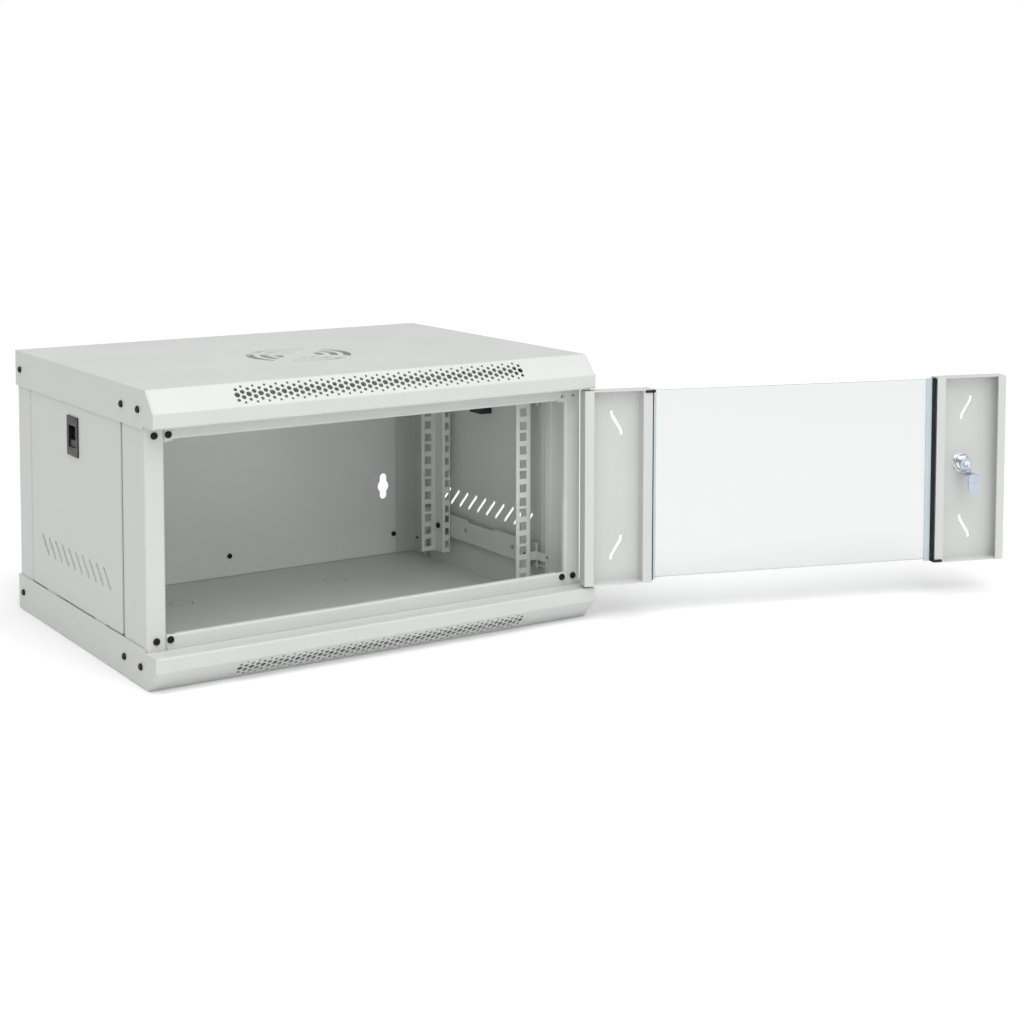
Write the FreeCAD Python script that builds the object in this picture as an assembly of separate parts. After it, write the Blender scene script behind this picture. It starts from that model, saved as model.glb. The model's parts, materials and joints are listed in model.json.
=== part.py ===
import FreeCAD, Part
import math
import os
from FreeCAD import Vector

os.makedirs("parts", exist_ok=True)

# Network wall cabinet. Millimetres, +Z up, the front towards -Y.
# The origin is the centre of the face that the cabinet stands on.

# Driving dimensions: the cabinet
width = 530.0
depth = 400.0
height = 300.0
sheet = 1.5
bend = 1.6
tight_bend = 0.8
fit_gap = 0.4
skin_gap = 0.1

# Top and bottom covers
chamfer_run = 20.0
chamfer_drop = 22.0
lip_height = 15.0
side_flange = 40.0
cover_screw_drop = 21.0
vent_pitch = 13.1
vent_columns = 27
vent_row_pitch = 3.25
vent_diameters = (2.8, 3.8, 5.0, 6.0, 5.0, 3.8, 2.8)
fan_ring_radii = (24.0, 39.5, 54.5)
fan_slot = 8.5
fan_bar_widths = (22.0, 12.0)
fan_setback = 186.0
fan_offset = -11.0
rear_lip = 14.0
knockout_radius = 14.0
knockout_slit = 1.2
knockout_pitch = 203.0
knockout_from_rear = 88.0
knockout_tie = 5.0

# Frame behind the lips
frame_setback = 26.0
post_face = 23.0
post_side = 62.0
frame_return = 6.0
rail_top_return = 16.0
rebate = 7.0
panel_ledge = 12.0
opening_edge = 52.0
corner_tab = 9.0
tab_height = 18.0
tab_show = 2.0
tab_gap = 0.05
rear_post_side = 46.0
rear_post_face = 26.0

# Rack rails and brackets
rack_unit = 44.45
rack_hole_spacing = 15.875
rack_hole_centres = 465.1
rack_hole = 9.5
rack_base = 26.0
rail_end = 4.0
rail_face = 20.0
rail_web = 20.0
rail_flange = 9.5
rail_hole_edge = 9.3
front_rail_setback = 96.0
rear_rail_inset = 90.0
flange_hole_width = 5.5
flange_hole_height = 8.5
flange_hole_edge = 2.4
bracket_height = 28.0
bracket_low = 41.0
bracket_gap = 0.35
bracket_tongue = 10.0
bracket_lug = 4.5
pad_inset = 3.0
pad_fit = 0.1
latch_notch = 60.0
latch_notch_drop = 3.0
bracket_screw_radius = 2.0
bracket_shank = 1.2
bracket_screw_shift = 2.15
bracket_hole_radius = 2.5
bracket_hole_from_rail = 55.0

# Side panels and their latches
panel_return = 7.0
panel_gap = 0.4
panel_foot_gap = 1.3
hook_depth = 8.0
hook_width = 30.0
hook_from_end = 45.0
slot_margin = 30.0
slot_pitch = 20.3
slot_width = 4.2
slot_rise = 20.0
slot_centre = 90.0
latch_width = 32.0
latch_height = 43.0
latch_top_drop = 53.0
latch_proud = 1.6
latch_wall = 2.5
latch_depth = 17.0
latch_shallow = 7.6
latch_inset = 3.3
latch_chute = 3.0
latch_recess_edge = 10.0
latch_clear = 0.35
bolt_width = 12.0
bolt_thick = 2.5
bolt_travel = 7.0

# Back panel
keyhole_inset = 47.0
keyhole_drop = 91.0
keyhole_radius = 8.0
keyhole_slot = 10.0
keyhole_length = 33.0
back_screw_inset = 32.0
back_screw_edge = 27.0

# Door
door_side_gap = 2.0
door_gap = 2.5
door_open = 162.5
door_front = 6.0
door_back = 12.0
hinge_inset = 7.0
hinge_edge = 5.0
pin_radius = 2.5
pin_fit = 0.06
pin_engage = 8.0
pin_collar = 4.0
pin_collar_height = 2.0
pin_head = 4.2
hinge_rim = 11.0
lock_rim = 10.0
hinge_stile = 81.0
lock_stile = 89.0
band_width = 11.0
seal_width = 3.0
seal_depth = 7.0
glass_thick = 5.0
glass_grip = 8.0
glass_short = 3.0
glass_room = 0.2
stile_slot_width = 4.0
stile_slot_lean = 32.0
stile_slot_inset = 43.0
stile_slot_end = 28.0
stile_slot_run = 22.0
stile_slot_tail = 4.5

# Lock
lock_from_edge = 49.5
lock_rise = 6.0
barrel_length = 13.0
lock_body_radius = 8.2
rosette_margin = 3.0
rosette_thick = 2.5
lock_bore_fit = 0.08
plug_wall = 2.8
nut_margin = 1.5
lock_nut_thick = 4.0
washer_thick = 0.8
cam_reach = 32.0
cam_width = 13.5
cam_hub_margin = 1.0
cam_step_at = 12.0
cam_thick = 2.4
cam_clear = 1.2
cam_screw_radius = 4.0
key_slot_width = 1.2
key_slot_height = 8.0
key_slot_depth = 8.0
cam_gap = 0.4

# Screws
screw_radius = 3.9
screw_head = 2.2
shank_radius = 1.6
screw_grip = 5.0
post_screw_inset = 12.0
rail_screw_inset = 4.0
frame_screw_drop = 47.0
side_screw_insets = (11.0, 8.0, 16.0)
screw_clearance = 0.15

# Derived places
half_w = width / 2
half_d = depth / 2
mid_z = height / 2
frame_y = -half_d + frame_setback
lip_low = height - chamfer_drop - lip_height
opening_x = half_w - post_face
opening_top = height - opening_edge
front_post_end = frame_y + post_side
rear_post_start = half_d - rear_post_side
flange_low = height - side_flange
ledge_high = flange_low - 2.0
post_x = -half_w + 1.5 * sheet + skin_gap
hole_x = rack_hole_centres / 2
rail_x = hole_x - rail_hole_edge
rail_low = rack_base - rail_end
rail_high = height - rail_low
rack_units = int((height - 2 * rack_base) / rack_unit)
front_rail_y = -half_d + front_rail_setback
rear_rail_y = half_d - rear_rail_inset
hinge_x = half_w - hinge_inset
hinge_y = -half_d + door_front + 2
door_width = width - 2 * door_side_gap
door_low = height - lip_low + door_gap
door_high = lip_low - door_gap
panel_x = -half_w + sheet + skin_gap
latch_y = (front_post_end + rear_post_start) / 2
latch_high = height - latch_top_drop
latch_low = latch_high - latch_height
cam_y = frame_y + frame_return + cam_clear
lock_x = hinge_x - (door_width - hinge_edge - lock_from_edge)
lock_z = mid_z + lock_rise
plug_radius = lock_body_radius - plug_wall
lock_nut_radius = lock_body_radius + nut_margin
keyhole_x = half_w - keyhole_inset
keyhole_z = height - keyhole_drop
back_screw_x = half_w - back_screw_inset
web_x = -post_x - rebate - bracket_gap - sheet / 2
pad_x = rail_x + rail_face + sheet / 2 + pad_fit
bracket_front = front_post_end - 1.5 * sheet - bend + 0.05
bracket_rear = rear_post_start + 1.5 * sheet + bend - 0.05
bracket_z = bracket_low + bracket_height / 2
rail_screw_places = []
bracket_screw_places = []
for z in (bracket_z, height - bracket_z):
    for y in (front_rail_y + rail_web / 2, rear_rail_y - rail_web / 2):
        rail_screw_places.append((rail_x + rail_face - sheet / 2, y, z))
    for y in (bracket_front, bracket_rear):
        bracket_screw_places.append((web_x + sheet / 2 + bracket_screw_shift, y, z))


def box(x0, x1, y0, y1, z0, z1):
    lo = Vector(min(x0, x1), min(y0, y1), min(z0, z1))
    return Part.makeBox(abs(x1 - x0), abs(y1 - y0), abs(z1 - z0), lo)


def rod(radius, length, at, direction):
    return Part.makeCylinder(radius, length, Vector(*at), Vector(*direction))


def fuse(shapes):
    first, rest = shapes[0], list(shapes[1:])
    if rest:
        first = first.fuse(rest)
    return first.removeSplitter()


def group(shapes):
    return Part.makeCompound(shapes)


def mirrored(shape, normal, point=(0, 0, 0)):
    return shape.mirror(Vector(*point), Vector(*normal))


def mirror_x(shape):
    return mirrored(shape, (1, 0, 0))


def mirror_z(shape):
    return mirrored(shape, (0, 0, 1), (0, 0, mid_z))


def side_line(points, offset, inner):
    """One side of a bent strip: straight runs joined by arcs about each bend."""
    edges = []
    start = None
    for i, point in enumerate(points):
        before = (points[i] - points[i - 1]).normalize() if i else None
        after = (points[i + 1] - point).normalize() if i + 1 < len(points) else None
        if before is None:
            start = point + Vector(-after.y, after.x, 0) * offset
            first = start
            continue
        if after is None:
            end = point + Vector(-before.y, before.x, 0) * offset
            edges.append(Part.LineSegment(start, end).toShape())
            continue
        turn = math.atan2(before.cross(after).z, before.dot(after))
        middle = inner + sheet / 2
        cut = middle * math.tan(abs(turn) / 2)
        toward = Vector(-before.y, before.x, 0) * math.copysign(1, turn)
        centre = point - before * cut + toward * middle
        arc_start = point - before * cut + Vector(-before.y, before.x, 0) * offset
        arc_end = point + after * cut + Vector(-after.y, after.x, 0) * offset
        out = (point - centre).normalize()
        arc_mid = centre + out * (arc_start - centre).Length
        edges.append(Part.LineSegment(start, arc_start).toShape())
        edges.append(Part.Arc(arc_start, arc_mid, arc_end).toShape())
        start = arc_end
    return edges, first, end


def folded(points, length, plane="xy", inner=bend):
    """A bent sheet: the centre line of its section, drawn out to a length."""
    line = [Vector(a, b, 0) for a, b in points]
    left, left_a, left_b = side_line(line, sheet / 2, inner)
    right, right_a, right_b = side_line(line, -sheet / 2, inner)
    ends = [Part.LineSegment(left_a, right_a).toShape()]
    ends.append(Part.LineSegment(left_b, right_b).toShape())
    wire = Part.Wire(Part.__sortEdges__(left + right + ends))
    solid = Part.Face(wire).extrude(Vector(0, 0, length))
    if plane == "yz":
        solid.rotate(Vector(0, 0, 0), Vector(1, 1, 1), 120)
    return solid


def outline_yz(points, x0, thickness):
    """A flat plate with an outline in the YZ plane."""
    wire = Part.makePolygon([Vector(x0, y, z) for y, z in points + points[:1]])
    return Part.Face(wire).extrude(Vector(thickness, 0, 0))


def screw(at, outward, head=screw_radius, grip=screw_grip, shank_r=shank_radius):
    """A pan-head screw: the head stands out of the face, the shank goes in."""
    out = Vector(*outward)
    base = Vector(*at)
    dome = Part.makeCone(head, head * 0.72, screw_head, base, out)
    recess = Part.makeCylinder(head * 0.35, screw_head, base + out * (screw_head * 0.5), out)
    shank = Part.makeCylinder(shank_r, grip, base - out * grip, out)
    return dome.cut(recess).fuse(shank)


def bore(at, outward, radius=shank_radius + screw_clearance, length=12.0):
    start = Vector(*at) - Vector(*outward) * length / 2
    return Part.makeCylinder(radius, length, start, Vector(*outward))


# Screw places: each is (x, y, z) on the outer face
post_screw_x = half_w - post_screw_inset
rail_screw_x = opening_x - rail_screw_inset
frame_screw_z = height - frame_screw_drop
front_screws = []
for sx in (-1, 1):
    for z in (frame_screw_z, height - frame_screw_z):
        for x in (post_screw_x, rail_screw_x):
            front_screws.append((sx * x, frame_y, z))
bare_corner = [p for p in front_screws if p[0] > 0 and p[2] > mid_z]
front_screws = [p for p in front_screws if p not in bare_corner]
side_screw_y = (frame_y + side_screw_insets[0], front_post_end - side_screw_insets[1],
                half_d - side_screw_insets[2])
cover_screws = [(half_w, y, height - cover_screw_drop) for y in side_screw_y]
back_screws = [(x, z) for x in (-back_screw_x, 0, back_screw_x)
               for z in (back_screw_edge, height - back_screw_edge)]


def perforation():
    """Staggered rows of holes through the chamfer, large in the middle row."""
    slope = Vector(0, chamfer_run, chamfer_drop)
    along = Vector(slope).normalize()
    normal = Vector(0, -along.z, along.y)
    centre = Vector(0, -half_d + chamfer_run / 2, height - chamfer_drop / 2)
    rows = len(vent_diameters)
    cutters = []
    for row, diameter in enumerate(vent_diameters):
        shift = vent_pitch / 2 if row % 2 == 0 else 0.0
        count = vent_columns - 1 if row % 2 == 0 else vent_columns
        place = centre + along * ((row - (rows - 1) / 2) * vent_row_pitch)
        for column in range(count):
            x = -(vent_columns - 1) / 2 * vent_pitch + shift + column * vent_pitch
            base = place + Vector(x, 0, 0) - normal * 3 * sheet
            cutters.append(Part.makeCylinder(diameter / 2, 6 * sheet, base, normal))
    return cutters


def fan_grille():
    """Ring slots crossed by two diagonal bars."""
    centre = Vector(fan_offset, -half_d + fan_setback, height - 3 * sheet)
    rings = []
    for radius in fan_ring_radii:
        outer = Part.makeCylinder(radius + fan_slot / 2, 6 * sheet, centre)
        rings.append(outer.cut(Part.makeCylinder(radius - fan_slot / 2, 6 * sheet, centre)))
    reach = fan_ring_radii[-1] + fan_slot
    bars = []
    for angle, bar in zip((45, -45), fan_bar_widths):
        b = box(-reach, reach, -bar / 2, bar / 2, -sheet, 8 * sheet)
        b.rotate(Vector(0, 0, 0), Vector(0, 0, 1), angle)
        b.translate(centre)
        bars.append(b)
    return group(rings).cut(fuse(bars))


def cover_blank():
    """Top cover: a tray with a chamfered front, a lip and a ledge back to the frame."""
    c = sheet / 2
    ledge_end = frame_y - fit_gap
    section = [(half_d, height - c), (-half_d + chamfer_run, height - c),
               (-half_d + c, height - chamfer_drop), (-half_d + c, lip_low + c),
               (ledge_end, lip_low + c)]
    skin = folded(section, width - 2 * sheet, "yz", inner=tight_bend)
    skin.translate(Vector(-half_w + sheet, 0, 0))
    top_y = -half_d + chamfer_run
    outline = [(half_d, flange_low), (half_d, height), (top_y, height),
               (-half_d, height - chamfer_drop), (-half_d, lip_low),
               (frame_y + sheet, lip_low), (frame_y + sheet, flange_low)]
    left = outline_yz(outline, -half_w, sheet)
    rear = box(-half_w, half_w, half_d - sheet, half_d, height - rear_lip, height)
    solid = fuse([skin, left, mirror_x(left), rear])
    rounded = []
    for edge in solid.Edges:
        v = edge.BoundBox
        long_edge = abs(v.XMin) > half_w - 0.01 and v.XLength < 0.01
        if long_edge and v.ZMin > height - 0.01 and v.YLength > depth / 2:
            rounded.append(edge)
    return solid.makeFillet(sheet * 0.8, rounded)


def make_covers():
    blank = cover_blank()
    cuts = perforation()
    for at in cover_screws:
        cuts += [bore(at, (1, 0, 0)), bore((-at[0], at[1], at[2]), (1, 0, 0))]
    cuts.append(rod(pin_radius, 6 * sheet, (hinge_x, hinge_y, lip_low - 3 * sheet), (0, 0, 1)))
    for x, z in back_screws:
        if z > mid_z:
            cuts.append(bore((x, half_d, height - rear_lip / 2), (0, 1, 0)))
    shell = blank.cut(cuts)
    top = shell.cut(fan_grille())
    slits = []
    for sx in (-1, 1):
        at = Vector(sx * knockout_pitch / 2, half_d - knockout_from_rear, height - 3 * sheet)
        ring = Part.makeCylinder(knockout_radius, 6 * sheet, at)
        ring = ring.cut(Part.makeCylinder(knockout_radius - knockout_slit, 6 * sheet, at))
        far = 2 * knockout_radius
        tie = box(at.x - knockout_tie / 2, at.x + knockout_tie / 2, at.y - far, at.y + far,
                  height - far, height + far)
        slits.append(ring.cut(tie))
    bottom = mirror_z(shell.cut(slits))
    return top, bottom


def make_front_post():
    """Front left post: side wall, face with a shallow return, and a rebate for the panel."""
    c = sheet / 2
    low, high = sheet + fit_gap, height - sheet - fit_gap
    back = front_post_end - 2 * sheet - bend
    section = [(post_x + rebate, back), (post_x, back), (post_x, frame_y + c),
               (-opening_x - c, frame_y + c), (-opening_x - c, frame_y + frame_return)]
    post = folded(section, high - low)
    post.translate(Vector(0, 0, low))
    step = post_x + sheet + fit_gap
    ledge = box(step - c, step + c, back, front_post_end + panel_ledge,
                height - ledge_high, ledge_high)
    y0, y1 = frame_y + sheet + tab_gap, frame_y + 2 * sheet + tab_gap
    relief, tabs = [], []
    for z in (opening_top - tab_show, height - opening_top - tab_height):
        relief.append(box(-opening_x - 2 * sheet, -opening_x + 1, y0, y0 + frame_return, z, z + tab_height))
        tabs.append(box(-opening_x - post_face / 3, -opening_x + corner_tab, y0, y1, z, z + tab_height))
        tabs.append(box(-opening_x - post_face / 3, -opening_x - 2 * sheet, frame_y + c, y1, z, z + tab_height))
    return fuse([post.cut(relief), ledge] + tabs)


def make_rear_post():
    """Rear left post: side wall, rear flange and a rebate ledge for the panel."""
    c = sheet / 2
    low, high = sheet + fit_gap, height - sheet - fit_gap
    rear = half_d - 2 * sheet - fit_gap - c
    front = rear_post_start + 2 * sheet + bend
    section = [(post_x + rear_post_face, rear), (post_x, rear), (post_x, front), (post_x + rebate, front)]
    post = folded(section, high - low)
    post.translate(Vector(0, 0, low))
    step = post_x + sheet + fit_gap
    ledge = box(step - c, step + c, rear_post_start - panel_ledge, front, height - ledge_high, ledge_high)
    return fuse([post, ledge])


def make_frame_rail():
    """Front top rail: a face between the posts with a return under it and one above."""
    c = sheet / 2
    high = height - sheet - fit_gap
    section = [(frame_y + frame_return, opening_top + c), (frame_y + c, opening_top + c),
               (frame_y + c, high - c), (frame_y + rail_top_return, high - c)]
    length = 2 * (opening_x - fit_gap)
    rail = folded(section, length, "yz", inner=tight_bend)
    rail.translate(Vector(-length / 2, 0, 0))
    notch = [box(sx * (opening_x - corner_tab - 1), sx * opening_x, frame_y + sheet, frame_y + 20,
                 opening_top - 1, opening_top + 16) for sx in (-1, 1)]
    return rail.cut(notch)


def rail_hole_heights():
    heights = []
    for unit in range(rack_units):
        for i in range(3):
            heights.append(rack_base + unit * rack_unit + rack_unit / 2 + (i - 1) * rack_hole_spacing)
    return heights


def make_rack_rail():
    """Front right rack rail: a Z section with square holes in its face."""
    c = sheet / 2
    outer = rail_x + rail_face
    section = [(rail_x, front_rail_y + c), (outer, front_rail_y + c),
               (outer, front_rail_y + rail_web), (outer + rail_flange, front_rail_y + rail_web)]
    rail = folded(section, rail_high - rail_low, inner=tight_bend)
    rail.translate(Vector(0, 0, rail_low))
    half = rack_hole / 2
    web_end = front_rail_y + rail_web
    flange_hole = outer + rail_flange - flange_hole_edge + sheet / 2
    cuts = []
    for z in rail_hole_heights():
        cuts.append(box(hole_x - half, hole_x + half, front_rail_y - 1, front_rail_y + 2 * sheet,
                        z - half, z + half))
        cuts.append(box(flange_hole - flange_hole_width, flange_hole, web_end - 3 * sheet, web_end + 3 * sheet,
                        z - flange_hole_height / 2, z + flange_hole_height / 2))
    cuts += [bore(at, (1, 0, 0), length=6.0) for at in rail_screw_places if at[1] < 0]
    return rail.cut(cuts)


def make_bracket():
    """Lower right depth bracket: a strip from post to post that carries both rails."""
    c = sheet / 2
    z0, z1 = bracket_low, bracket_low + bracket_height
    tongue_low = bracket_z - bracket_tongue / 2
    tongue_high = bracket_z + bracket_tongue / 2
    web_front = front_rail_y + pad_inset
    web = box(web_x - c, web_x + c, web_front, bracket_rear, z0, z1)
    tongue = box(web_x - c, web_x + c, bracket_front, web_front + 1, tongue_low, tongue_high)
    notch = box(web_x - 2, web_x + 2, latch_y - latch_notch / 2, latch_y + latch_notch / 2,
                z1 - latch_notch_drop, z1 + 1)
    pieces = [web.cut(notch), tongue]
    pad_end = rail_web - pad_inset - 1
    for y, way, low, high in ((front_rail_y, 1, tongue_low, tongue_high), (rear_rail_y, -1, z0, z1)):
        pieces.append(box(pad_x, web_x, y + pad_inset * way, y + (pad_inset + sheet) * way, low, high))
        pieces.append(box(pad_x, pad_x + sheet, y + pad_inset * way, y + pad_end * way, low, high))
    pieces.append(box(web_x - c, web_x + bracket_lug, bracket_front, bracket_front + sheet,
                      tongue_low, tongue_high))
    pieces.append(box(web_x - c, web_x + bracket_lug, bracket_rear - sheet, bracket_rear, z0, z1))
    cuts = [bore(at, (1, 0, 0)) for at in rail_screw_places if at[2] < mid_z]
    low_screws = [at for at in bracket_screw_places if at[2] < mid_z]
    cuts += [bore(at, (0, 1, 0), bracket_shank + screw_clearance) for at in low_screws]
    for y in (front_rail_y + bracket_hole_from_rail, rear_rail_y - bracket_hole_from_rail):
        cuts.append(rod(bracket_hole_radius, 6 * sheet, (web_x - 3 * sheet, y, (z0 + z1) / 2), (1, 0, 0)))
    return fuse(pieces).cut(cuts)


def make_side_panel():
    """Left side panel: a flat tray with folded edges, vent slots and a latch window."""
    x0 = panel_x
    y0, y1 = front_post_end + panel_gap, rear_post_start - panel_gap
    z0, z1 = height - flange_low + panel_foot_gap, flange_low - panel_gap
    skin = box(x0, x0 + sheet, y0, y1, z0, z1)
    cuts = []
    slot_count = int((y1 - y0 - 2 * slot_margin) / slot_pitch)
    first = latch_y + slot_pitch * (slot_count - 1) / 2
    for i in range(slot_count):
        y = first - i * slot_pitch
        run = slot_rise
        s = box(-10, 10, -slot_width / 2, slot_width / 2, -run * 0.62, run * 0.62)
        s = s.fuse([rod(slot_width / 2, 20, (-10, 0, e * run * 0.62), (1, 0, 0)) for e in (-1, 1)])
        s.rotate(Vector(0, 0, 0), Vector(1, 0, 0), -45)
        s.translate(Vector(x0, y, slot_centre))
        cuts.append(s)
    cuts.append(box(x0 - 5, x0 + 5, latch_y - latch_width / 2 + 3, latch_y + latch_width / 2 - 3,
                    latch_low + 3, latch_high - 3))
    skin = skin.cut(cuts)
    edges = [box(x0, x0 + panel_return, y0 + panel_ledge + 2, y1 - panel_ledge - 2, z1 - sheet, z1)]
    top_notch = box(x0 - 1, x0 + 20, latch_y - bolt_width, latch_y + bolt_width, z1 - 2 * sheet, z1 + 1)
    edges = [e.cut(top_notch.copy()) for e in edges]
    hooks = []
    for y in (y0 + hook_from_end, y1 - hook_from_end - hook_width):
        hooks.append(box(x0, x0 + sheet, y, y + hook_width, z0 - hook_depth, z0 + sheet))
    return fuse([skin] + edges + hooks)


def make_latch_housing():
    """Black moulded housing: a face plate with a finger recess and an open-topped body."""
    half_plate, half_body = latch_width / 2, latch_width / 2 - latch_inset
    low, high = latch_low + latch_inset, latch_high - latch_inset
    shoulder = height - bracket_low - bracket_height - 0.5
    plate = box(panel_x - latch_proud, panel_x - 0.05, latch_y - half_plate, latch_y + half_plate,
                latch_low, latch_high)
    deep = box(panel_x - 0.5, panel_x + latch_depth, latch_y - half_body, latch_y + half_body, low, shoulder)
    shallow = box(panel_x - 0.5, panel_x + latch_shallow, latch_y - half_body, latch_y + half_body,
                  shoulder - 1, high)
    outer = fuse([plate, deep, shallow])
    inner = half_body - latch_wall
    deep_end = panel_x + latch_depth - latch_wall
    shallow_end = panel_x + latch_chute + latch_clear + bolt_thick + latch_clear
    recess_low, recess_high = latch_low + latch_recess_edge, latch_high - latch_recess_edge
    cuts = [box(panel_x - 5, shallow_end, latch_y - inner, latch_y + inner, recess_low, recess_high)]
    cuts.append(box(panel_x + latch_chute, deep_end, latch_y - inner, latch_y + inner,
                    low + latch_wall, shoulder - latch_wall))
    cuts.append(box(panel_x + latch_chute, shallow_end, latch_y - inner, latch_y + inner,
                    low + latch_wall, latch_high + 1))
    solid = outer.cut(cuts)
    rim = [e for e in solid.Edges if e.BoundBox.XMax < panel_x - latch_proud + 0.01]
    return solid.makeFillet(0.6, rim)


def make_latch_slider():
    """Slider with a thumb pad, whose bolt goes up behind the cover flange."""
    inner = latch_width / 2 - latch_inset - latch_wall - latch_clear
    low = latch_low + latch_inset + latch_wall + latch_clear
    x = panel_x + latch_chute + latch_clear
    shoulder = latch_high - latch_recess_edge - bolt_travel
    plate = box(x, x + bolt_thick, latch_y - inner, latch_y + inner, low, shoulder)
    bolt = box(x, x + bolt_thick, latch_y - bolt_width / 2, latch_y + bolt_width / 2,
               shoulder - 1, flange_low - fit_gap)
    pad_low = latch_low + latch_recess_edge + latch_clear
    pad = rod(inner - 0.2, 4.0, (x - 3.6, latch_y, pad_low), (1, 0, 0))
    pad = pad.common(box(x - 6, x + 2, latch_y - inner, latch_y + inner, pad_low, pad_low + 7.5))
    return fuse([plate, bolt, pad])


def make_back_panel():
    c = fit_gap
    y1 = half_d - sheet - skin_gap
    plate = box(-half_w + sheet + 1, half_w - sheet - 1, y1 - sheet, y1, sheet + c, height - sheet - c)
    cuts = []
    for sx in (-1, 1):
        for sz in (-1, 1):
            x = sx * keyhole_x
            z = mid_z + sz * (keyhole_z - mid_z)
            cuts.append(rod(keyhole_radius, 6, (x, y1 - 4, z), (0, 1, 0)))
            half = (keyhole_length - keyhole_slot) / 2
            r = keyhole_slot / 2
            cuts.append(box(x - r, x + r, y1 - 4, y1 + 2, z - half, z + half))
            cuts += [rod(r, 6, (x, y1 - 4, z + e * half), (0, 1, 0)) for e in (-1, 1)]
    cuts += [bore((x, y1, z), (0, 1, 0)) for x, z in back_screws]
    return plate.cut(cuts)


def stile(s0, s1, rim_at, band_at, rim_width):
    """A door stile in the closed door's own place: s runs from the hinge edge."""
    x = lambda s: hinge_x + hinge_edge - s
    y_out, y_in = hinge_y - door_front, hinge_y + door_back
    face = box(x(s0), x(s1), y_out, y_out + sheet, door_low, door_high)
    rim_dir = 1 if rim_at < band_at else -1
    wall = box(x(rim_at), x(rim_at + rim_dir * sheet), y_out, y_in, door_low, door_high)
    lip = box(x(rim_at), x(rim_at + rim_dir * rim_width), y_in - sheet, y_in, door_low, door_high)
    ends = []
    for z in (door_low, door_high - sheet):
        ends.append(box(x(s0), x(s1), y_out, y_in - 2, z, z + sheet))
    band_far = band_at - rim_dir * band_width
    top = y_in - 2
    band = box(x(band_at), x(band_far), top - sheet, top, door_low, door_high)
    band_wall = box(x(band_far), x(band_far + rim_dir * sheet), y_out, top, door_low, door_high)
    return fuse([face, wall, lip, band, band_wall] + ends)


def stile_slots(s_mid, lean):
    cuts = []
    for sz in (-1, 1):
        z_mid = mid_z + sz * ((door_high - door_low - stile_slot_run) / 2 - stile_slot_end)
        half = stile_slot_run / 2
        slot = box(-stile_slot_width / 2, stile_slot_width / 2, -30, 30, -half, half)
        ends = [box(-stile_slot_width / 2, stile_slot_width / 2, -30, 30, 0, stile_slot_tail)]
        ends.append(ends[0].copy())
        slot.rotate(Vector(0, 0, 0), Vector(0, 1, 0), lean * sz * stile_slot_lean)
        across = half * math.sin(math.radians(stile_slot_lean))
        up = half * math.cos(math.radians(stile_slot_lean))
        for e, part in zip((-1, 1), ends):
            part.translate(Vector(e * lean * sz * across, 0, e * up - (stile_slot_tail if e < 0 else 0)))
        slot = slot.fuse(ends)
        slot.translate(Vector(hinge_x + hinge_edge - s_mid, hinge_y - door_front, z_mid))
        cuts.append(slot)
    return cuts


def open_door(shape):
    """Turns a closed-door piece about the hinge axis to the open rest position."""
    turned = shape.copy()
    turned.rotate(Vector(hinge_x, hinge_y, 0), Vector(0, 0, 1), door_open)
    return turned


def make_cam(hub_y):
    """Cranked cam: a round hub on the plug and a tab stepped inwards to the catch plane."""
    half = cam_width / 2
    step_z = lock_z - cam_step_at
    tip_z = lock_z - cam_reach + half
    x0, x1 = lock_x - half, lock_x + half
    hub = rod(half + cam_hub_margin, cam_thick, (lock_x, hub_y, lock_z), (0, 1, 0))
    neck = box(x0, x1, hub_y, hub_y + cam_thick, step_z, lock_z)
    crank = box(x0, x1, hub_y, cam_y + cam_thick, step_z, step_z + cam_thick)
    tab = box(x0, x1, cam_y, cam_y + cam_thick, tip_z, step_z + cam_thick)
    tip = rod(half, cam_thick, (lock_x, cam_y, tip_z), (0, 1, 0))
    cam = fuse([hub, neck, crank, tab, tip])
    return cam.cut(rod(shank_radius, 20, (lock_x, hub_y - 5, lock_z), (0, 1, 0)))


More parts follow.
